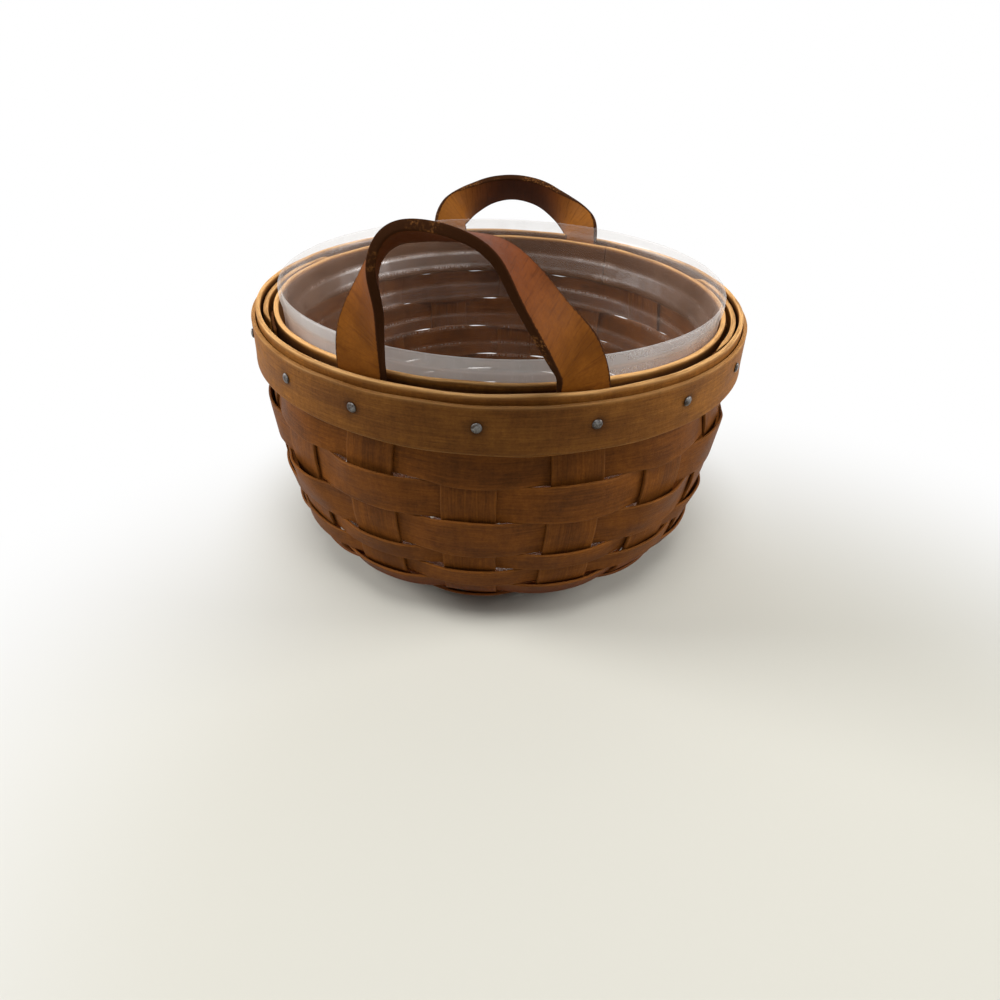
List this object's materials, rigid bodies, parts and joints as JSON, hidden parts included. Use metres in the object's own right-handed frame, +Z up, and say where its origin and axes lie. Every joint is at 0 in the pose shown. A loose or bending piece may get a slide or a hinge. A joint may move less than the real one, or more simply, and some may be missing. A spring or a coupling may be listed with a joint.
{
  "type": "woven basket",
  "caption": "Small round basket of woven wood splints with a nailed hoop rim, looped leather ears and a lift-out clear plastic liner.",
  "frame": {"origin": "centre of the underside, on the surface the basket stands on", "axes": "+Z up through the middle of the rim; one leather ear stands over -Y, the front, and the other over +Y"},
  "size_m": [0.1854, 0.2139, 0.1436],
  "materials": {
    "stained_maple": "satin stain over split maple",
    "rim_maple": "satin stain, paler on the rounded top edges",
    "saddle_leather": "satin grain side with rough cut edges",
    "nail_steel": "dull",
    "clear_plastic": "clear, glossy, with light scuffs"
  },
  "bodies": {
    "basket": {"stake_splint_1": "stained_maple", "stake_splint_2": "stained_maple", "stake_splint_3": "stained_maple", "stake_splint_4": "stained_maple", "stake_splint_5": "stained_maple", "stake_splint_6": "stained_maple", "stake_splint_7": "stained_maple", "stake_splint_8": "stained_maple", "wall_weaver_1": "stained_maple", "wall_weaver_2": "stained_maple", "wall_weaver_3": "stained_maple", "wall_weaver_4": "stained_maple", "wall_weaver_5": "stained_maple", "heel_weaver_1": "stained_maple", "heel_weaver_2": "stained_maple", "heel_weaver_3": "stained_maple", "heel_weaver_4": "stained_maple", "base_weaver_1": "stained_maple", "base_weaver_2": "stained_maple", "base_weaver_3": "stained_maple", "base_weaver_4": "stained_maple", "inner_hoop": "rim_maple", "outer_hoop": "rim_maple", "trim_hoop": "rim_maple", "right_rim_filler": "rim_maple", "left_rim_filler": "rim_maple", "front_ear_left_bend": "saddle_leather", "front_ear_right_bend": "saddle_leather", "front_ear_left_tail": "saddle_leather", "front_ear_right_tail": "saddle_leather", "rear_ear_left_bend": "saddle_leather", "rear_ear_right_bend": "saddle_leather", "rear_ear_left_tail": "saddle_leather", "rear_ear_right_tail": "saddle_leather", "rim_nail_01": "nail_steel", "rim_nail_02": "nail_steel", "rim_nail_03": "nail_steel", "rim_nail_04": "nail_steel", "rim_nail_05": "nail_steel", "rim_nail_06": "nail_steel", "rim_nail_07": "nail_steel", "rim_nail_08": "nail_steel", "rim_nail_09": "nail_steel", "rim_nail_10": "nail_steel", "rim_nail_11": "nail_steel", "rim_nail_12": "nail_steel", "rim_nail_13": "nail_steel", "rim_nail_14": "nail_steel", "rim_nail_15": "nail_steel", "rim_nail_16": "nail_steel"},
    "front_ear": {"front_ear_strap": "saddle_leather"},
    "rear_ear": {"rear_ear_strap": "saddle_leather"},
    "liner": {"plastic_liner": "clear_plastic"}
  },
  "joints": [
    {"name": "front_ear_flex", "type": "hinge", "parent": "basket", "child": "front_ear", "pos_m": [0, -0.082, 0.105], "axis": [1, 0, 0], "range_deg": [0, 65], "deforming": ["front_ear_left_bend", "front_ear_right_bend"]},
    {"name": "rear_ear_flex", "type": "hinge", "parent": "basket", "child": "rear_ear", "pos_m": [0, 0.084, 0.103], "axis": [-1, 0, 0], "range_deg": [-50, 20], "deforming": ["rear_ear_left_bend", "rear_ear_right_bend"]},
    {"name": "liner_lift", "type": "slide", "parent": "basket", "child": "liner", "axis": [0, 0, 1], "range_m": [0, 0.145]}
  ]
}
